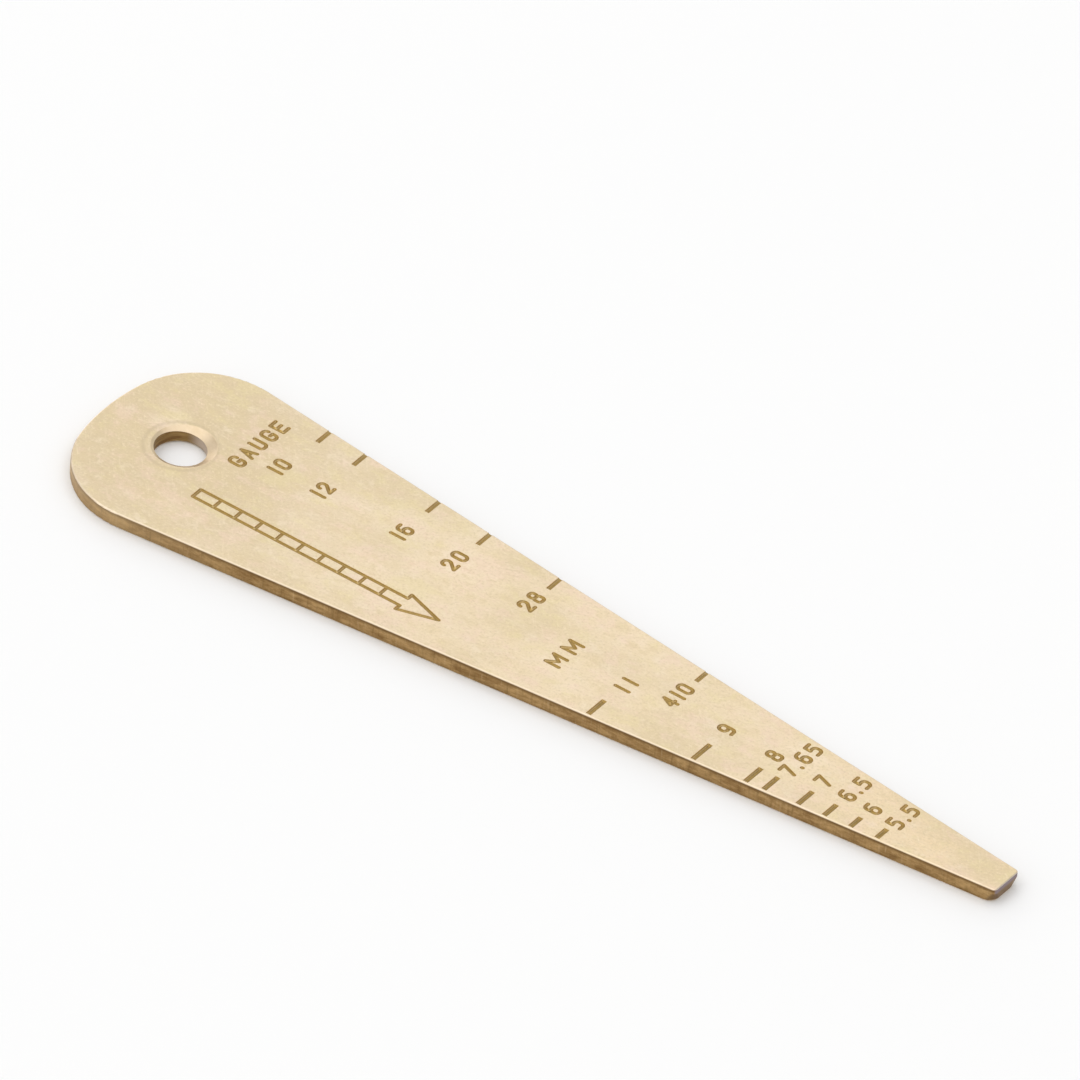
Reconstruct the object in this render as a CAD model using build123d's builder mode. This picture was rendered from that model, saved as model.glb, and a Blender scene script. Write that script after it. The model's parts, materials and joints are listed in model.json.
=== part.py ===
"""Tapered bore gauge: a flat brass plate whose width at each mark is the bore it measures.

The plate lies on the XY plane with its engraved face up and its narrow tip towards +X. The
origin is the middle of its footprint, on the underside. All sizes are in millimetres.
"""
from build123d import *
import math
import os

# ---- the plate ----
LENGTH = 88.0
THICKNESS = 1.4
HOLE_FROM_END = 7.4  # from the round end to the middle of the hanging hole
HOLE_RADIUS = 2.15
HOLE_ROUND = 0.25  # rounding of the lower rim of the hole
SINK_RADIUS = 2.65  # of the countersink, at the engraved face
SINK_SLOPE = 1.8  # radius for each millimetre of depth
SINK_OFFSET = (0.21, 0.18)  # the countersink was cut by hand, off the middle of the hole
SINK_ROUND = 0.12  # rounding between the countersink and the face
WIDTH_AT_HOLE = 20.26
TAPER = 0.2115  # width lost for each millimetre of length
END_BULGE = 3.1  # how far the middle of the blunt round end stands out from its corners
END_CORNER_RADIUS = 7.6
TIP_CORNER_RADIUS = 0.35
TORN_TIP_HEIGHT = 0.94  # the lower part of the sheared end is torn: it leans back, its corners rounder
TORN_TIP_UNDERCUT = 0.18  # how far back it leans at the underside
TORN_TIP_CORNER_RADIUS = 1.05  # at the underside
EDGE_ROUND = 0.12  # rounding all round both faces

END_X = -LENGTH / 2
TIP_X = LENGTH / 2
HOLE_X = END_X + HOLE_FROM_END
SINK_FLOOR_RADIUS = HOLE_RADIUS - math.hypot(*SINK_OFFSET)  # where it has left the wall all round
SINK_DEPTH = (SINK_RADIUS - SINK_FLOOR_RADIUS) / SINK_SLOPE

# ---- the engraving ----
ENGRAVING_DEPTH = 0.15
FILM = 0.05  # thickness of the dark film on the floor of the engraving
FLOOR_Z = THICKNESS - ENGRAVING_DEPTH
BORE_TICK_WIDTH = 0.43
MILLIMETRE_TICK_WIDTH = 0.48
PEN = 0.34  # width of the lines in numbers and letters
CAP_HEIGHT = 1.63  # overall, as are the widths below
DIGIT_WIDTH = 1.0
LETTER_WIDTH = 1.06
WIDE_LETTER_WIDTH = 1.47  # for M
GAP = 0.34  # between neighbouring characters
BOWL = 0.31  # corner radius of a round character
SMALL_BOWL = 0.24  # the same, for the two bowls of an 8

# ---- bore marks, on the far edge: name, bore, tick length, far end of the number ----
INCH = 25.4
BORE_MARKS = [
    ("10", 0.732 * INCH, 1.8, 4.0),
    ("12", 0.700 * INCH, 1.8, 3.9),
    ("16", 0.635 * INCH, 1.8, 3.9),
    ("20", 0.590 * INCH, 1.8, 4.1),
    ("28", 0.528 * INCH, 1.75, 4.0),
    ("410", 0.399 * INCH, 1.55, 2.7),
]
# how far numbers stand off their tick along the plate
BORE_SHIFTS = {"10": -0.45, "20": -0.2, "28": -0.1, "410": -0.1}

# ---- millimetre marks, on the near edge: name, tick length, near end of the number ----
MILLIMETRE_MARKS = [
    ("11", 2.2, -1.2),
    ("9", 2.35, -0.15),
    ("8", 2.15, -0.25),
    ("7.65", 1.95, -1.0),
    ("7", 2.0, -0.2),
    ("6.5", 1.7, -0.4),
    ("6", 1.45, -0.4),
    ("5.5", 1.4, -0.65),
]
MILLIMETRE_TICK_INSET = 0.22  # from the near edge to the tick
# how far numbers stand off their tick: 7.65 stands clear of its neighbour, 8
MILLIMETRE_SHIFTS = {"11": 0.2, "9": -0.1, "8": -0.1, "7.65": 0.15, "7": -0.1, "6": 0.1, "5.5": 0.1}
ELEVEN_GAP = 0.79

# ---- headings and arrow, placed from the middle of the hole ----
BORE_HEADING = "GAUGE"
BORE_HEADING_X = HOLE_X + 4.52
BORE_HEADING_Y = 0.9
MILLIMETRE_HEADING = "MM"
MILLIMETRE_HEADING_X = HOLE_X + 38.03
MILLIMETRE_HEADING_Y = -2.4
MILLIMETRE_HEADING_GAP = 0.7
ARROW_X = HOLE_X + 4.4
ARROW_Y = -3.8
ARROW_LENGTH = 23.7
ARROW_HEAD_LENGTH = 3.4
ARROW_HEAD_WIDTH = 2.2
ARROW_SHAFT_WIDTH = 1.1
ARROW_RULES = 9

# Each character is one or more passes of a round cutter. A pass is a list of corners, x and y
# as parts of the character's width and height, with the radius that rounds an inner corner.
CHARACTERS = {
    "0": [
        [(0.5, 0), (1, 0, BOWL), (1, 1, BOWL), (0.5, 1)],
        [(0.5, 0), (0, 0, BOWL), (0, 1, BOWL), (0.5, 1)],
    ],
    "1": [[(0, 0), (0, 1)]],
    "2": [[(0, 0.74), (0, 1, BOWL), (1, 1, BOWL), (1, 0.6, BOWL), (0, 0, 0), (1, 0)]],
    "4": [[(0.68, 0), (0.68, 1)], [(0.68, 1), (0, 0.3, 0), (1, 0.3)]],
    "5": [
        [(0.95, 1), (0.08, 1, 0), (0.04, 0.57, 0), (0.4, 0.6)],
        [(0.4, 0.6), (1, 0.6, BOWL), (1, 0, BOWL), (0, 0)],
    ],
    "6": [
        [(0, 0.3), (0, 1, BOWL), (0.9, 1)],
        [(0.5, 0), (1, 0, BOWL), (1, 0.58, BOWL), (0.5, 0.58)],
        [(0.5, 0), (0, 0, BOWL), (0, 0.58, BOWL), (0.5, 0.58)],
    ],
    "7": [[(0, 1), (1, 1, 0), (0.3, 0)]],
    "8": [
        [(0.5, 0), (1, 0, SMALL_BOWL), (1, 0.53, SMALL_BOWL), (0.5, 0.53)],
        [(0.5, 0), (0, 0, SMALL_BOWL), (0, 0.53, SMALL_BOWL), (0.5, 0.53)],
        [(0.5, 0.53), (0.95, 0.53, SMALL_BOWL), (0.95, 1, SMALL_BOWL), (0.5, 1)],
        [(0.5, 0.53), (0.05, 0.53, SMALL_BOWL), (0.05, 1, SMALL_BOWL), (0.5, 1)],
    ],
    "9": [
        [(1, 0.7), (1, 0, BOWL), (0.1, 0)],
        [(0.5, 0.42), (1, 0.42, BOWL), (1, 1, BOWL), (0.5, 1)],
        [(0.5, 0.42), (0, 0.42, BOWL), (0, 1, BOWL), (0.5, 1)],
    ],
    ".": [[(0, 0), (0, 0.05)]],
    "A": [[(0, 0), (0.5, 1, 0), (1, 0)], [(0.17, 0.33), (0.83, 0.33)]],
    "E": [[(1, 1), (0, 1, 0), (0, 0, 0), (1, 0)], [(0, 0.52), (0.85, 0.52)]],
    "G": [
        [(1, 0.74), (1, 1, BOWL), (0, 1, BOWL), (0, 0.5)],
        [(0, 0.5), (0, 0, BOWL), (1, 0, BOWL), (1, 0.44, 0), (0.55, 0.44)],
    ],
    "M": [[(0, 0), (0, 1, 0), (0.5, 0.3, 0), (1, 1, 0), (1, 0)]],
    "U": [[(0, 1), (0, 0, BOWL), (1, 0, BOWL), (1, 1)]],
}


def plate_width(x):
    """Width of the tapered plate at x."""
    return WIDTH_AT_HOLE - TAPER * (x - HOLE_X)


def place_of_width(width):
    """Where along the plate it has this width."""
    return HOLE_X + (WIDTH_AT_HOLE - width) / TAPER


def cutter_pass(corners):
    """The groove that a round cutter leaves on its way through these corners."""
    places = [corner[:2] for corner in corners]
    with BuildLine() as path:
        if len(places) == 2:
            Line(*places)
        else:
            FilletPolyline(*places, radius=[corner[2] for corner in corners[1:-1]])
    with BuildSketch() as groove:
        SlotArc(path.wire(), PEN)
    return groove.sketch


def character_width(character):
    """Overall width of one character."""
    if character in "1.":
        return PEN
    if character == "M":
        return WIDE_LETTER_WIDTH
    return LETTER_WIDTH if character.isalpha() else DIGIT_WIDTH


def text_width(text, gap):
    """Overall width of a line of characters."""
    return sum(character_width(character) for character in text) + gap * (len(text) - 1)


def text_grooves(text, gap):
    """Grooves of a line of characters that starts at x = 0, centred on y = 0."""
    grooves = []
    start = 0.0
    for character in text:
        across = character_width(character) - PEN
        height = CAP_HEIGHT - PEN
        for corners in CHARACTERS[character]:
            scaled = [
                (start + PEN / 2 + x * across, (y - 0.5) * height, *rounding)
                for x, y, *rounding in corners
            ]
            grooves.append(cutter_pass(scaled))
        start += character_width(character) + gap
    return grooves


def text_outline(lines):
    """Outline of lines of text that run across the plate, their capitals towards the round end.

    Each line is its text, the place along and across the plate where it starts, and its gap.
    """
    placed = [(Location((x, y), 90), text_grooves(text, gap)) for text, x, y, gap in lines]
    with BuildSketch(Plane.XY.offset(FLOOR_Z)) as outline:
        for place, grooves in placed:
            with Locations(place):
                add(grooves)
    return outline.sketch


# ---- outlines of the engraving ----
with BuildSketch(Plane.XY.offset(FLOOR_Z)) as bore_tick_outline:
    for name, bore, tick_length, number_end in BORE_MARKS:
        place = place_of_width(bore)
        with Locations((place, plate_width(place) / 2 - tick_length)):
            Rectangle(BORE_TICK_WIDTH, 2 * tick_length, align=(Align.CENTER, Align.MIN))

with BuildSketch(Plane.XY.offset(FLOOR_Z)) as millimetre_tick_outline:
    for name, tick_length, number_start in MILLIMETRE_MARKS:
        with Locations((place_of_width(float(name)), MILLIMETRE_TICK_INSET - float(name) / 2)):
            Rectangle(MILLIMETRE_TICK_WIDTH, tick_length, align=(Align.CENTER, Align.MIN))

bore_lines = []
for name, bore, tick_length, number_end in BORE_MARKS:
    along = place_of_width(bore) + BORE_SHIFTS.get(name, 0)
    bore_lines.append((name, along, number_end - text_width(name, GAP), GAP))

millimetre_lines = []
for name, tick_length, number_start in MILLIMETRE_MARKS:
    along = place_of_width(float(name)) + MILLIMETRE_SHIFTS.get(name, 0)
    millimetre_lines.append((name, along, number_start, ELEVEN_GAP if name == "11" else GAP))

# A hollow arrow with a ruled shaft, pointing to the end that goes into the bore.
neck = ARROW_LENGTH - ARROW_HEAD_LENGTH
shaft = ARROW_SHAFT_WIDTH / 2
barb = ARROW_HEAD_WIDTH / 2
upper_half = [(0, 0), (0, shaft, 0), (neck, shaft, 0), (neck, barb, 0), (ARROW_LENGTH, 0)]
lower_half = [(x, -y, *rounding) for x, y, *rounding in upper_half]
arrow_grooves = [cutter_pass(upper_half), cutter_pass(lower_half)]
for rule in range(ARROW_RULES):
    place = neck * (rule + 1) / (ARROW_RULES + 1)
    arrow_grooves.append(cutter_pass([(place, -shaft), (place, shaft)]))
with BuildSketch(Plane.XY.offset(FLOOR_Z)) as arrow_outline:
    with Locations((ARROW_X, ARROW_Y)):
        add(arrow_grooves)

bore_heading_line = (BORE_HEADING, BORE_HEADING_X, BORE_HEADING_Y, GAP)
millimetre_heading_line = (
    MILLIMETRE_HEADING,
    MILLIMETRE_HEADING_X,
    MILLIMETRE_HEADING_Y,
    MILLIMETRE_HEADING_GAP,
)
ENGRAVINGS = {
    "bore_ticks": bore_tick_outline.sketch,
    "bore_numbers": text_outline(bore_lines),
    "bore_heading": text_outline([bore_heading_line]),
    "millimetre_ticks": millimetre_tick_outline.sketch,
    "millimetre_numbers": text_outline(millimetre_lines),
    "millimetre_heading": text_outline([millimetre_heading_line]),
    "direction_arrow": arrow_outline.sketch,
}

# ---- the blank: the plate before it is engraved ----
def blank_outline(z, tip_x, corner_radius):
    """Outline of the plate at a height, with its tip ending at x and the tip's corners rounded."""
    corner_x = END_X + END_BULGE
    with BuildSketch(Plane.XY.offset(z)) as outline:
        with BuildLine():
            ThreePointArc(
                (corner_x, plate_width(corner_x) / 2),
                (END_X, 0),
                (corner_x, -plate_width(corner_x) / 2),
            )
            Polyline(
                (corner_x, -plate_width(corner_x) / 2),
                (tip_x, -plate_width(tip_x) / 2),
                (tip_x, plate_width(tip_x) / 2),
                (corner_x, plate_width(corner_x) / 2),
            )
        make_face()
        fillet(outline.vertices().group_by(Axis.X)[0], END_CORNER_RADIUS)
        fillet(outline.vertices().group_by(Axis.X)[-1], corner_radius)
    return outline.sketch


with BuildPart() as blank:
    loft(
        [
            blank_outline(0, TIP_X - TORN_TIP_UNDERCUT, TORN_TIP_CORNER_RADIUS),
            blank_outline(TORN_TIP_HEIGHT, TIP_X, TIP_CORNER_RADIUS),
            blank_outline(THICKNESS, TIP_X, TIP_CORNER_RADIUS),
        ],
        ruled=True,
    )
    both_faces = blank.faces().filter_by(Plane.XY)
    fillet(both_faces.edges(), EDGE_ROUND)
    with Locations((HOLE_X, 0, THICKNESS)):
        Hole(HOLE_RADIUS)
    fillet(blank.edges(Select.LAST).sort_by(Axis.Z)[0], HOLE_ROUND)
    with Locations((HOLE_X + SINK_OFFSET[0], SINK_OFFSET[1], THICKNESS - SINK_DEPTH / 2)):
        Cone(SINK_FLOOR_RADIUS, SINK_RADIUS, SINK_DEPTH, mode=Mode.SUBTRACT)
    fillet(blank.edges(Select.LAST).filter_by(GeomType.CIRCLE).sort_by(Axis.Z)[-1], SINK_ROUND)

# ---- the plate, and the dark film in each group of marks ----
os.makedirs("parts", exist_ok=True)

with BuildPart() as gauge_plate:
    add(blank.part)
    for outline in ENGRAVINGS.values():
        extrude(outline, amount=THICKNESS, mode=Mode.SUBTRACT)
gauge_plate.part.label = "gauge_plate"
export_step(gauge_plate.part, "parts/gauge_plate.step")

for group, outline in ENGRAVINGS.items():
    with BuildPart() as film:
        extrude(outline, amount=FILM)
        add(blank.part, mode=Mode.INTERSECT)
    film.part.label = group
    export_step(film.part, f"parts/{group}.step")
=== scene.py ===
"""Looks of the tapered bore gauge: satin brass, burnished edges with painted highlights, sides and hole with
painted shade, and darkened engraving.
"""
import json
import math

import bmesh
import bpy
from mathutils import Matrix, Vector


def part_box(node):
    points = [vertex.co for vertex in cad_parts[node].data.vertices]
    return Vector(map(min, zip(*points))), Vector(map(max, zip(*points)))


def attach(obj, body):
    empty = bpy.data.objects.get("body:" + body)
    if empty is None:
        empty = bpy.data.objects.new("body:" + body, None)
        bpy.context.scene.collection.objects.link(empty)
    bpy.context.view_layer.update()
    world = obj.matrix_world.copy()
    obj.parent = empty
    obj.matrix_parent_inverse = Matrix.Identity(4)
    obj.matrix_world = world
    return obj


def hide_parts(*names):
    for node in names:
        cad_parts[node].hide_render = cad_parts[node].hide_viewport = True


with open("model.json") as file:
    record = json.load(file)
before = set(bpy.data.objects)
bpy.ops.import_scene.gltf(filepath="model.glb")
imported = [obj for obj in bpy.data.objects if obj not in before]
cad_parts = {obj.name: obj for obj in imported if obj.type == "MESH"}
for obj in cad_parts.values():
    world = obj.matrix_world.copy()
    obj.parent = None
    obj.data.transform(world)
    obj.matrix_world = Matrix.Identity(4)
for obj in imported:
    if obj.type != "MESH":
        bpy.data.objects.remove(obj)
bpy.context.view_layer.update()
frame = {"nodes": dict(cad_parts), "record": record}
record = frame["record"]
mounts = {mount["name"]: mount for mount in record["mounts"]}

MM = 0.001
plate_low, plate_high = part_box("gauge_plate")
TOP = plate_high.z
HOLE = Vector(mounts["hanging_hole"]["pos_m"])
HOLE_RADIUS = mounts["hanging_hole"]["dims"]["r_mm"] * MM
SHEAR_LINE = 0.67 * TOP  # the end of the tip was sheared above this and torn below it; the grey above it is partly a painted reflection

FILM_NODES = [node for node in sorted(frame["nodes"]) if node != "gauge_plate"]
# a groove's floor: mm in from the outline, and how much of the depth it has there
GROOVE_STEPS = ((0.03, 0.38), (0.06, 0.68), (0.09, 0.88), (0.12, 0.97), (0.14, 0.97))
CORNER = 0.12 * MM  # how far along a straight wall the shading of its corners may reach
RIM_DEPTH = 0.002 * MM  # how far a groove's rim lies under the plate's face
RUN_OUT = 0.4 * MM  # how far a groove is made too long, before it is cut off at the plate's side
AT_SIDE = 0.01 * MM  # a film that comes this near to the plate's side runs out through it
SAME_HEIGHT = 0.001 * MM
SAME_VERTEX = 0.0001 * MM
FLOOR_GAP = 0.02 * MM  # between the floor and the underside, so that the two never mix in a view

# ---- palette: red, green and blue, as the share of the light that comes back ----
# the faces
COOL_BRASS = (0.835, 0.70, 0.515)
PLAIN_BRASS = (0.85, 0.70, 0.485)
WARM_BRASS = (0.87, 0.69, 0.455)
# olive and darker, in patches near the hole
OLIVE_NEAR_HOLE_BRASS = (0.69, 0.555, 0.345)
DULL_CLOUD = (0.735, 0.60, 0.385)
BRIGHT_CLOUD = (0.92, 0.765, 0.575)
DULL_BLOTCH = (0.72, 0.585, 0.37)
BRIGHT_BLOTCH = (0.93, 0.785, 0.585)
ROSY_TINT = (0.885, 0.675, 0.55)
GREEN_TINT = (0.81, 0.695, 0.39)
BRUSHED_LINE = (0.95, 0.81, 0.60)
DULL_SCUFF = (0.68, 0.54, 0.33)
BRIGHT_SCUFF = (0.95, 0.80, 0.60)
DARK_GRAIN = (0.66, 0.53, 0.33)
BRIGHT_GRAIN = (0.96, 0.82, 0.62)
# painted shade: a darker ring on the dished rim round the hole
SHADE_RING_BY_HOLE = (0.50, 0.39, 0.25)
# the rounded edges
# burnished tone, also the colour of a painted highlight line along the rounded edges
BURNISHED_AND_HIGHLIGHT = (0.79, 0.655, 0.50)
# painted glint on the tip's burred top edge
BURR_GLINT = (0.93, 0.95, 1.0)
# painted shade in the countersink, darker and lighter in blotches
SHADED_REAMED_DARK = (0.60, 0.46, 0.285)
SHADED_REAMED_LIGHT = (0.73, 0.585, 0.41)
# painted highlight on the countersink's side facing +X and +Y
REAMED_HIGHLIGHT = (1.0, 0.83, 0.55)
# the sides, the wall of the hole and the end of the tip
# the cut metal's own tarnished brown, darkened further as painted shade
SHADED_CUT_DARK = (0.27, 0.152, 0.053)
SHADED_CUT_LIGHT = (0.57, 0.378, 0.168)
DARK_STREAK = (0.20, 0.12, 0.045)
LIGHT_STREAK = (0.66, 0.49, 0.275)
# painted shade: a band just under the top edge
SHADE_UNDER_RIM = (0.165, 0.09, 0.033)
# painted shade: a band along the foot
SHADE_AT_FOOT = (0.22, 0.135, 0.055)
# lighter towards the round end
LIGHTER_AT_ROUND_END = (0.60, 0.45, 0.26)
# painted shade on surfaces that face downwards
UNDERCUT_SHADE = (0.20, 0.125, 0.06)
# painted shade in the hole: the drilled wall made darkest, lighter along the drill lines
SHADED_DRILLED_DARK = (0.20, 0.105, 0.033)
SHADED_DRILLED_LIGHT = (0.40, 0.26, 0.10)
# painted gleam on the hole wall's side towards +X and +Y
PAINTED_GLEAM_GREY = (0.62, 0.52, 0.43)
TORN_DARK = (0.27, 0.165, 0.095)
TORN_LIGHT = (0.42, 0.27, 0.165)
# grey of the sheared part, partly a painted reflection
SHEARED_AND_REFLECTION = (0.30, 0.235, 0.245)
# the engraving
STAIN_DARK = (0.41, 0.27, 0.08)
STAIN_LIGHT = (0.58, 0.395, 0.125)
PIT = (0.27, 0.18, 0.065)
GROOVE_FLOOR = (0.27, 0.18, 0.07)
LIT_WALL = (0.80, 0.60, 0.32)
BARE_WALL = (0.84, 0.59, 0.25)
# the floor
FLOOR_DARK = (0.94, 0.94, 0.94)
FLOOR_LIGHT = (0.96, 0.96, 0.955)


# ---- node helpers ----
class Nodes:
    """Short names for building one material's nodes."""

    def __init__(self, name):
        self.material = bpy.data.materials.new(name)
        self.material.use_nodes = True
        self.tree = self.material.node_tree
        self.tree.nodes.clear()
        self.output = self.tree.nodes.new("ShaderNodeOutputMaterial")
        self.shader = self.tree.nodes.new("ShaderNodeBsdfPrincipled")
        self.link(self.shader.outputs["BSDF"], self.output.inputs["Surface"])
        self.place = self.tree.nodes.new("ShaderNodeTexCoord").outputs["Object"]

    def link(self, source, target):
        self.tree.links.new(source, target)

    def feed(self, socket, value):
        """Sets a socket to a number or colour, or links another socket to it."""
        if isinstance(value, bpy.types.NodeSocket):
            self.link(value, socket)
        elif socket.type == "RGBA":
            socket.default_value = (*value, 1.0)
        else:
            socket.default_value = value

    def math(self, operation, first, second=0.0):
        node = self.tree.nodes.new("ShaderNodeMath")
        node.operation = operation
        self.feed(node.inputs[0], first)
        self.feed(node.inputs[1], second)
        return node.outputs[0]

    def both(self, first, second):
        """The product of two numbers from 0 to 1, which is large only where both are."""
        return self.math("MULTIPLY", first, second)

    def scaled(self, per_mm, turn=0.0):
        """The place on the part, turned in the plate's plane, in repeats per millimetre on each axis."""
        node = self.tree.nodes.new("ShaderNodeMapping")
        node.vector_type = "TEXTURE"
        self.link(self.place, node.inputs["Vector"])
        node.inputs["Rotation"].default_value = (0.0, 0.0, math.radians(turn))
        node.inputs["Scale"].default_value = [MM / repeats for repeats in per_mm]
        return node.outputs[0]

    def noise(self, per_mm, detail, seed, roughness=0.5, turn=0.0):
        node = self.tree.nodes.new("ShaderNodeTexNoise")
        node.noise_dimensions = "4D"
        self.link(self.scaled(per_mm, turn), node.inputs["Vector"])
        node.inputs["W"].default_value = seed
        node.inputs["Scale"].default_value = 1.0
        node.inputs["Detail"].default_value = detail
        node.inputs["Roughness"].default_value = roughness
        return node.outputs["Fac"]

    def spread(self, value, low, high, to_low=0.0, to_high=1.0):
        """Maps low..high to to_low..to_high, smoothly and held at both ends. Low may be above high."""
        node = self.tree.nodes.new("ShaderNodeMapRange")
        node.interpolation_type = "SMOOTHSTEP"
        self.link(value, node.inputs["Value"])
        node.inputs["From Min"].default_value = low
        node.inputs["From Max"].default_value = high
        node.inputs["To Min"].default_value = to_low
        node.inputs["To Max"].default_value = to_high
        return node.outputs["Result"]

    def mix(self, factor, first, second):
        node = self.tree.nodes.new("ShaderNodeMix")
        node.data_type = "RGBA"
        factor_socket = node.inputs[0]
        first_colour, second_colour = node.inputs[6], node.inputs[7]
        self.feed(factor_socket, factor)
        self.feed(first_colour, first)
        self.feed(second_colour, second)
        return node.outputs[2]

    def layers(self, colour, *rows):
        """A colour with others over it, each where a value goes from start to full, up to a strength."""
        for value, start, full, strength, over in rows:
            colour = self.mix(self.spread(value, start, full, 0.0, strength), colour, over)
        return colour

    def axis(self, source, name):
        node = self.tree.nodes.new("ShaderNodeSeparateXYZ")
        self.link(source, node.inputs[0])
        return node.outputs[name]

    def facing(self, name):
        """How squarely the surface faces along an axis, from -1 to 1."""
        geometry = self.tree.nodes.new("ShaderNodeNewGeometry")
        return self.axis(geometry.outputs["Normal"], name)

    def distance(self, centre):
        """How far the place is from an upright line through the centre."""
        node = self.tree.nodes.new("ShaderNodeVectorMath")
        node.operation = "DISTANCE"
        flat = self.tree.nodes.new("ShaderNodeCombineXYZ")
        self.link(self.axis(self.place, "X"), flat.inputs["X"])
        self.link(self.axis(self.place, "Y"), flat.inputs["Y"])
        self.link(flat.outputs[0], node.inputs[0])
        node.inputs[1].default_value = (centre.x, centre.y, 0.0)
        return node.outputs["Value"]

    def bump(self, height, distance_mm, strength):
        node = self.tree.nodes.new("ShaderNodeBump")
        node.inputs["Strength"].default_value = strength
        node.inputs["Distance"].default_value = distance_mm * MM
        self.link(height, node.inputs["Height"])
        return node.outputs[0]

    def set(self, **sockets):
        """Feeds the shader's inputs by name, with _ for a space."""
        for name, value in sockets.items():
            self.feed(self.shader.inputs[name.replace("_", " ")], value)


# ---- brass ----
class Brass(Nodes):
    """The plate's nodes: where each kind of surface is, how uneven the metal is, and its colours."""

    def __init__(self):
        super().__init__("satin_brass")
        self.x, self.y, self.z = (self.axis(self.place, name) for name in "XYZ")
        self.from_hole = self.distance(HOLE)
        upward = self.facing("Z")
        level = self.math("ABSOLUTE", upward)

        # 1 where the surface is of the kind, 0 elsewhere
        self.undercut = self.both(
            self.spread(upward, -0.03, -0.25), self.spread(self.z, 0.1 * MM, 0.2 * MM)
        )
        self.side = self.math("MAXIMUM", self.spread(level, 0.55, 0.12), self.undercut)
        self.rounded = self.both(self.spread(level, 0.999, 0.97), self.spread(upward, 0.25, 0.55))
        self.in_hole = self.spread(self.from_hole, HOLE_RADIUS + 0.25 * MM, HOLE_RADIUS + 0.1 * MM)
        self.in_countersink = self.spread(
            self.from_hole, HOLE_RADIUS + 1.1 * MM, HOLE_RADIUS + 0.9 * MM
        )
        self.tip_end = self.both(
            self.spread(self.x, plate_high.x - 1.2 * MM, plate_high.x - 0.4 * MM),
            self.spread(self.facing("X"), 0.6, 0.95),
        )

        # the faces' unevenness, from the broadest to the finest
        self.cloud = self.noise((0.11, 0.2, 0.1), detail=4.0, seed=3.1, roughness=0.6)
        self.tint = self.noise((0.3, 0.45, 0.3), detail=5.0, seed=4.8, roughness=0.7)
        self.blotch = self.noise((0.6, 0.8, 0.5), detail=5.0, seed=7.4, roughness=0.7)
        self.brushing = self.noise((0.12, 6.0, 1.0), detail=3.0, seed=1.7, roughness=0.6)
        self.scuffs = self.noise((0.45, 4.5, 1.0), detail=4.0, seed=6.6, roughness=0.7, turn=28)
        self.cross_scuffs = self.noise((0.5, 5.0, 1.0), detail=4.0, seed=2.9, roughness=0.7, turn=-52)
        self.grain = self.noise((4.0, 5.0, 5.0), detail=3.0, seed=9.2, roughness=0.65)
        # the cut metal's: blotches, upright cutter lines, and the drill's lines round the hole
        self.mottling = self.noise((0.7, 0.7, 2.2), detail=5.0, seed=5.5, roughness=0.75)
        self.streaks = self.noise((5.0, 5.0, 0.5), detail=3.0, seed=2.2, roughness=0.65)
        self.rings = self.noise((0.5, 0.5, 5.0), detail=3.0, seed=3.7, roughness=0.6)

    def faces(self):
        """Cooler at the round end, warmer at the tip, olive and darker in patches near the hole, with a ring
        of painted shade on the dished rim round the hole.
        """
        lengthwise = self.spread(self.x, plate_low.x, 0.0)
        # olive, darker patches within 20 mm of the hole
        olive_near_hole = self.both(self.spread(self.from_hole, 20 * MM, 5 * MM), self.spread(self.cloud, 0.15, 0.5))
        # painted shade: a ring on the dished rim round the hole
        shade_ring = self.both(
            self.spread(self.from_hole, 2.7 * MM, 2.95 * MM),
            self.spread(self.from_hole, 3.3 * MM, 3.0 * MM),
        )
        colour = self.mix(lengthwise, COOL_BRASS, PLAIN_BRASS)
        colour = self.layers(colour, (self.x, 0.3 * plate_high.x, plate_high.x, 1.0, WARM_BRASS))
        colour = self.mix(self.both(olive_near_hole, 0.8), colour, OLIVE_NEAR_HOLE_BRASS)
        colour = self.layers(
            colour,
            (self.cloud, 0.45, 0.62, 0.7, DULL_CLOUD),
            (self.cloud, 0.42, 0.3, 0.7, BRIGHT_CLOUD),
            (self.blotch, 0.5, 0.66, 0.6, DULL_BLOTCH),
            (self.blotch, 0.47, 0.33, 0.6, BRIGHT_BLOTCH),
            (self.tint, 0.5, 0.62, 0.4, ROSY_TINT),
            (self.tint, 0.48, 0.36, 0.4, GREEN_TINT),
            (self.brushing, 0.5, 0.75, 0.2, BRUSHED_LINE),
            (self.scuffs, 0.52, 0.72, 0.35, DULL_SCUFF),
            (self.cross_scuffs, 0.54, 0.72, 0.35, BRIGHT_SCUFF),
            (self.grain, 0.5, 0.68, 0.5, DARK_GRAIN),
            (self.grain, 0.46, 0.32, 0.4, BRIGHT_GRAIN),
        )
        return self.mix(self.both(shade_ring, 0.3), colour, SHADE_RING_BY_HOLE)

    def sides(self):
        """Cut brass, partly its own tarnished brown and partly darkened as painted shade: bands of painted
        shade under the rim and along the foot, lighter towards the blunt end.
        """
        # tarnished brown, darkened as painted shade
        colour = self.layers(
            self.mix(self.spread(self.mottling, 0.3, 0.7), SHADED_CUT_DARK, SHADED_CUT_LIGHT),
            (self.streaks, 0.5, 0.75, 0.6, DARK_STREAK),
            (self.streaks, 0.45, 0.25, 0.4, LIGHT_STREAK),
            # painted shade: darker under the rim and along the foot
            (self.z, TOP - 0.45 * MM, TOP - 0.15 * MM, 0.75, SHADE_UNDER_RIM),
            (self.z, 0.4 * MM, 0.05 * MM, 0.4, SHADE_AT_FOOT),
            # lighter towards the round end
            (self.x, -22 * MM, plate_low.x, 0.45, LIGHTER_AT_ROUND_END),
        )
        colour = self.mix(self.both(self.in_hole, 0.9), colour, self.hole_wall())
        colour = self.mix(self.tip_end, colour, self.sheared_end_and_reflection())
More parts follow.
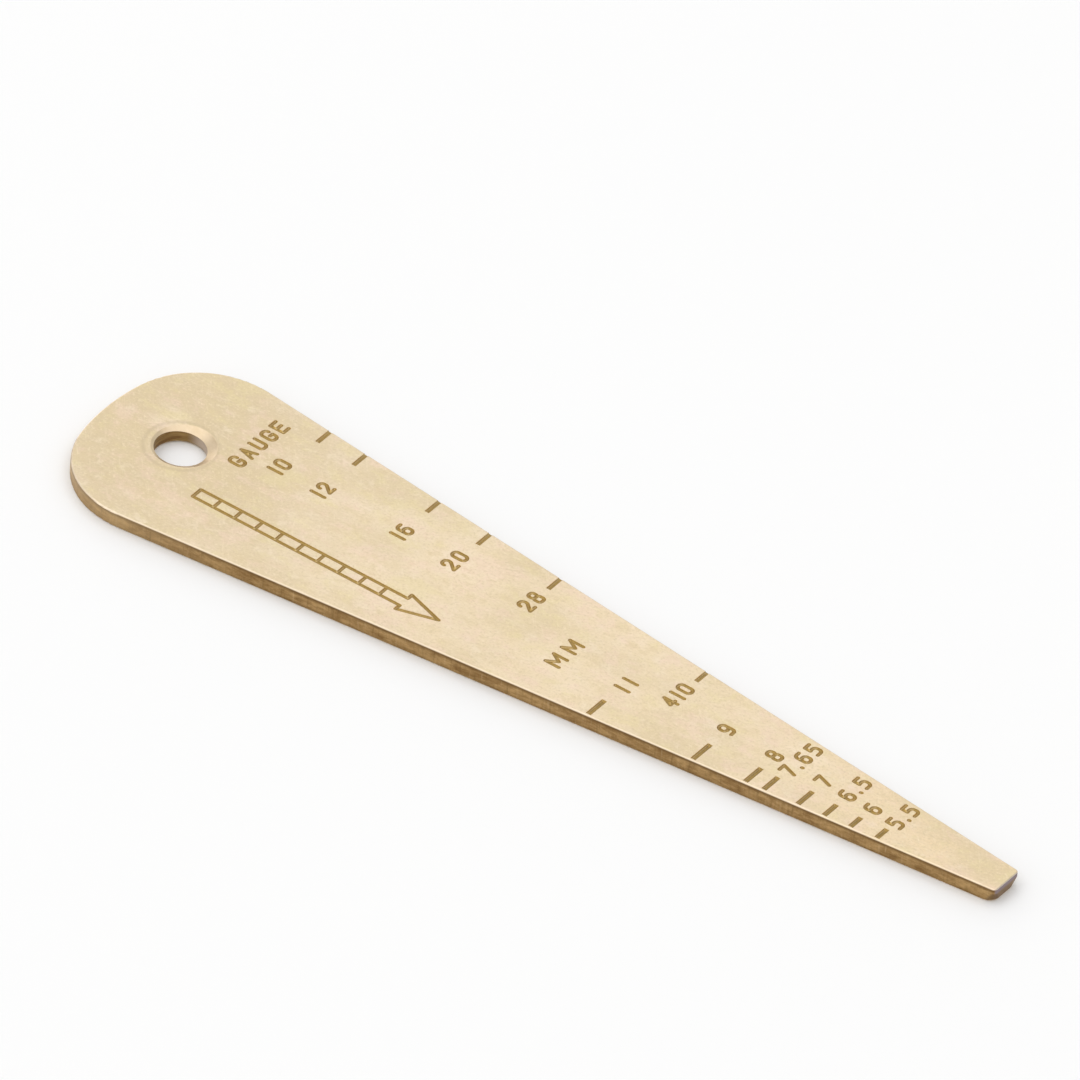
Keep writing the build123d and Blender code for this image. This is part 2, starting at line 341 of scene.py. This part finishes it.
        # painted shade where the surface faces downwards
        return self.mix(self.both(self.undercut, 0.65), colour, UNDERCUT_SHADE)

    def hole_wall(self):
        """Painted shade makes the hole wall the darkest metal, with a painted grey gleam on its side towards
        +X and +Y.
        """
        across = self.math("ADD", self.x, self.y)
        gleam_from, gleam_to = HOLE.x + 0.5 * HOLE_RADIUS, HOLE.x + 1.3 * HOLE_RADIUS
        # painted shade: the darkest metal
        colour = self.mix(self.spread(self.rings, 0.35, 0.65), SHADED_DRILLED_DARK, SHADED_DRILLED_LIGHT)
        # painted gleam towards +X and +Y
        return self.layers(colour, (across, gleam_from, gleam_to, 1.0, PAINTED_GLEAM_GREY))

    def sheared_end_and_reflection(self):
        """The end of the tip: pinkish where it tore, grey where it was sheared, that grey partly a painted
        reflection.
        """
        torn = self.mix(self.spread(self.mottling, 0.3, 0.7), TORN_DARK, TORN_LIGHT)
        # the grey above the shear line is partly a painted reflection
        return self.layers(torn, (self.z, SHEAR_LINE - 0.08 * MM, SHEAR_LINE + 0.08 * MM, 1.0, SHEARED_AND_REFLECTION))

    def with_worn_and_highlighted_edges(self, colour):
        """A colour with the rounded edges over it: burnished with a painted highlight line that fades
        towards the tip, the countersink darkened with painted shade and given a painted highlight on its
        side facing +X and +Y, and a painted glint on the tip's burred top edge.
        """
        # where the painted glint goes: the tip's burred top edge
        glint_place = self.both(self.tip_end, self.spread(self.z, 0.8 * TOP, 0.9 * TOP))
        # painted shade: the countersink made darker, in blotches
        shaded_countersink = self.mix(self.spread(self.blotch, 0.35, 0.65), SHADED_REAMED_DARK, SHADED_REAMED_LIGHT)
        facing_corner = self.math("ADD", self.facing("X"), self.facing("Y"))
        # painted highlight where the countersink faces +X and +Y
        shaded_countersink = self.layers(shaded_countersink, (facing_corner, 0.3, 0.9, 1.0, REAMED_HIGHLIGHT))
        edge = self.mix(self.in_countersink, self.mix(glint_place, BURNISHED_AND_HIGHLIGHT, BURR_GLINT), shaded_countersink)
        # burnished tone with a painted highlight line, fading towards the tip
        worn_and_highlight = self.math(
            "MAXIMUM", self.spread(self.x, 20 * MM, 36 * MM, 0.85, 0.45), self.both(glint_place, 0.85)
        )
        return self.mix(self.both(self.rounded, worn_and_highlight), colour, edge)

    def roughness(self):
        """Uneven on the faces, and rougher on the cut sides."""
        return self.math("ADD", self.spread(self.blotch, 0.3, 0.8, 0.30, 0.44), self.both(self.side, 0.16))

    def relief(self):
        """Scuffs and grain in the faces, and cutter lines in the sides."""
        ridges = self.math("ADD", self.both(self.scuffs, 0.5), self.both(self.grain, 0.5))
        ridges = self.math("ADD", ridges, self.both(self.side, self.streaks))
        return self.bump(ridges, 0.008, 0.6)


def brass_material():
    """Satin brushed brass on the faces, burnished with a painted highlight on the rounded edges, raw brown
    darkened with painted shade on the sides.
    """
    nodes = Brass()
    colour = nodes.with_worn_and_highlighted_edges(nodes.mix(nodes.side, nodes.faces(), nodes.sides()))
    nodes.set(Base_Color=colour, Metallic=1.0, Roughness=nodes.roughness(), Normal=nodes.relief())
    return nodes.material


# ---- engraving and floor ----
def engraving_material():
    """Darkened olive floor, with the bare brass of the groove's walls coming through near the rim."""
    nodes = Nodes("darkened_engraving")
    depth = nodes.math("SUBTRACT", TOP, nodes.axis(nodes.place, "Z"))
    stain = nodes.noise((1.6, 1.6, 1.6), detail=4.0, seed=4.3, roughness=0.65)
    pitting = nodes.noise((9.0, 9.0, 9.0), detail=3.0, seed=8.8)
    colour = nodes.layers(
        nodes.mix(nodes.spread(stain, 0.3, 0.7), STAIN_DARK, STAIN_LIGHT),
        (pitting, 0.45, 0.75, 0.6, PIT),
        (depth, 0.1 * MM, 0.14 * MM, 0.5, GROOVE_FLOOR),
        (nodes.facing("X"), 0.1, 0.5, 0.5, LIT_WALL),
        (depth, 0.05 * MM, 0.005 * MM, 1.0, BARE_WALL),
    )
    nodes.set(
        Base_Color=colour,
        Metallic=0.9,
        Roughness=nodes.spread(stain, 0.3, 0.8, 0.38, 0.55),
        Normal=nodes.bump(pitting, 0.01, 0.5),
    )
    return nodes.material


def floor_material():
    """Plain pale studio floor with the faintest unevenness."""
    nodes = Nodes("pale_floor")
    tone = nodes.noise((0.004, 0.004, 0.004), detail=2.0, seed=1.0)
    colour = nodes.mix(tone, FLOOR_DARK, FLOOR_LIGHT)
    nodes.set(Base_Color=colour, Roughness=0.75, Specular_IOR_Level=0.2)
    return nodes.material


# ---- grooves: a rounded one in place of each flat film ----
def far_side(plate):
    """The flat of the plate's far side: a place on it, its outward direction, and how high it reaches."""
    flats = [face for face in plate.data.polygons if face.normal.y > 0.9 and face.normal.z < 0.01]
    flat = max(flats, key=lambda face: face.area)
    level = [face for face in flats if abs((face.center - flat.center).dot(flat.normal)) < SAME_HEIGHT]
    upper = max(plate.data.vertices[index].co.z for face in level for index in face.vertices)
    return flat.center.copy(), flat.normal.copy(), upper


def split_off_corners(shape):
    """Cuts the long edges of an outline near both ends, so that each corner's shading stays by it."""
    long_edges = [edge for edge in shape.edges if edge.is_boundary and edge.calc_length() > 3 * CORNER]
    for edge in long_edges:
        start, end = edge.verts
        cut = bmesh.utils.edge_split(edge, start, CORNER / edge.calc_length())[1]
        rest = next(piece for piece in cut.link_edges if end in piece.verts)
        bmesh.utils.edge_split(rest, end, CORNER / rest.calc_length())


def groove_mesh(film, side_place, side_normal, rounding_low):
    """A rounded groove with the outline of a flat film, its rim flush with the plate's face.

    Where the film reaches the plate's far side, the groove runs out through the rounded edge.
    """
    film_low, film_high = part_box(film.name)
    depth = TOP - film_low.z
    shape = bmesh.new()
    shape.from_mesh(film.data)
    bmesh.ops.remove_doubles(shape, verts=shape.verts, dist=SAME_VERTEX)
    outside = [
        face
        for face in shape.faces
        if face.normal.z < 0.5 or face.calc_center_median().z < film_high.z - SAME_HEIGHT
    ]
    bmesh.ops.delete(shape, geom=outside, context="FACES")
    for vertex in shape.verts:
        vertex.co.z = TOP - RIM_DEPTH
    run_out = [vertex for vertex in shape.verts if (vertex.co - side_place).dot(side_normal) > -AT_SIDE]
    for vertex in run_out:
        vertex.co.y += RUN_OUT
    split_off_corners(shape)

    inner = list(shape.faces)
    inset = 0.0
    for reach, part in GROOVE_STEPS:
        bmesh.ops.inset_region(
            shape, faces=inner, thickness=(reach - inset) * MM, use_even_offset=True, use_boundary=True
        )
        inset = reach
        for vertex in {vertex for face in inner for vertex in face.verts}:
            vertex.co.z = TOP - depth * part

    if run_out:
        rim = Vector((side_place.x, side_place.y, TOP)) - side_normal * (TOP - rounding_low)
        for place, normal in ((side_place, side_normal), (rim, side_normal + Vector((0, 0, 1)))):
            everything = [*shape.verts, *shape.edges, *shape.faces]
            bmesh.ops.bisect_plane(shape, geom=everything, plane_co=place, plane_no=normal, clear_outer=True)
    mesh = bpy.data.meshes.new(film.name + "_groove")
    shape.to_mesh(mesh)
    shape.free()
    return mesh


def add_groove(node, material):
    """The groove that stands for one film node."""
    mesh = groove_mesh(frame["nodes"][node], *far_side(frame["nodes"]["gauge_plate"]))
    mesh.shade_smooth()
    mesh.materials.append(material)
    groove = bpy.data.objects.new(node + "_groove", mesh)
    bpy.context.scene.collection.objects.link(groove)
    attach(groove, "root")
    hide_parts(node)


# ---- studio ----
def add_floor(material, size):
    """A large pale plane that the gauge lies on."""
    level = plate_low.z - FLOOR_GAP
    mesh = bpy.data.meshes.new("floor")
    corners = [(x * size / 2, y * size / 2, level) for x, y in ((-1, -1), (1, -1), (1, 1), (-1, 1))]
    mesh.from_pydata(corners, [], [(0, 1, 2, 3)])
    mesh.materials.append(material)
    floor = bpy.data.objects.new("floor", mesh)
    bpy.context.scene.collection.objects.link(floor)


def look_at(place, aim, roll=0.0):
    """Turns something at a place so that its -Z points at the aim, rolled about the view."""
    turn = (aim - place).to_track_quat("-Z", "Y").to_matrix().to_4x4()
    return Matrix.Translation(place) @ turn @ Matrix.Rotation(math.radians(roll), 4, "Z")


def direction(azimuth, elevation):
    """Unit vector towards a place seen at this azimuth (0 is -Y, 90 is +X) and elevation."""
    azimuth, elevation = math.radians(azimuth), math.radians(elevation)
    level = math.cos(elevation)
    return Vector((math.sin(azimuth) * level, -math.cos(azimuth) * level, math.sin(elevation)))


def add_softbox(name, azimuth, elevation, distance, size, brightness):
    """A square area light that faces the gauge. At brightness 1 it looks like a white sheet in the sun."""
    light = bpy.data.lights.new(name, "AREA")
    light.shape = "SQUARE"
    light.size = size
    light.energy = brightness * math.pi * size**2
    lamp = bpy.data.objects.new(name, light)
    lamp.matrix_world = look_at(direction(azimuth, elevation) * distance, Vector((0, 0, 0)))
    lamp.visible_camera = False  # so that it never stands in front of a camera behind it
    bpy.context.scene.collection.objects.link(lamp)


def add_world(left, right):
    """Soft studio surroundings, whose brightness changes evenly from the left (-X) to the right (+X)."""
    world = bpy.data.worlds.new("studio")
    world.use_nodes = True
    tree = world.node_tree
    seen = tree.nodes.new("ShaderNodeTexCoord")
    axes = tree.nodes.new("ShaderNodeSeparateXYZ")
    tree.links.new(seen.outputs["Generated"], axes.inputs[0])
    ramp = tree.nodes.new("ShaderNodeMapRange")
    ramp.inputs["From Min"].default_value = -1.0
    ramp.inputs["To Min"].default_value = left
    ramp.inputs["To Max"].default_value = right
    tree.links.new(axes.outputs["X"], ramp.inputs["Value"])
    tree.links.new(ramp.outputs["Result"], tree.nodes["Background"].inputs["Strength"])
    tree.nodes["Background"].inputs["Color"].default_value = (1.0, 1.0, 1.0, 1.0)
    bpy.context.scene.world = world


def add_camera(aim, azimuth, elevation, distance, roll, lens):
    """A long lens, from the front right and above, with the gauge's tip towards the lower right."""
    camera = bpy.data.cameras.new("camera")
    camera.sensor_width = 36.0
    camera.lens = lens
    camera.clip_start = 0.1
    camera.clip_end = 100.0
    viewer = bpy.data.objects.new("camera", camera)
    viewer.matrix_world = look_at(aim + direction(azimuth, elevation) * distance, aim, roll)
    bpy.context.scene.collection.objects.link(viewer)
    bpy.context.scene.camera = viewer


centre_of_view = Vector((-8.26 * MM, 9.4 * MM, TOP))
add_camera(centre_of_view, azimuth=32.84, elevation=39.74, distance=3.5, roll=5.27, lens=1481.0)
add_world(left=0.89, right=0.42)
add_softbox("key", azimuth=-147, elevation=42, distance=1.5, size=1.6, brightness=0.12)
add_softbox("overhead", azimuth=0, elevation=84, distance=1.8, size=3.0, brightness=0.75)
add_softbox("low_left", azimuth=-130, elevation=14, distance=1.5, size=0.8, brightness=0.7)
add_floor(floor_material(), size=6.0)
bpy.context.scene.view_settings.view_transform = "Standard"

brass = brass_material()
for slot in frame["nodes"]["gauge_plate"].material_slots:
    slot.material = brass
engraving = engraving_material()
for node in FILM_NODES:
    add_groove(node, engraving)
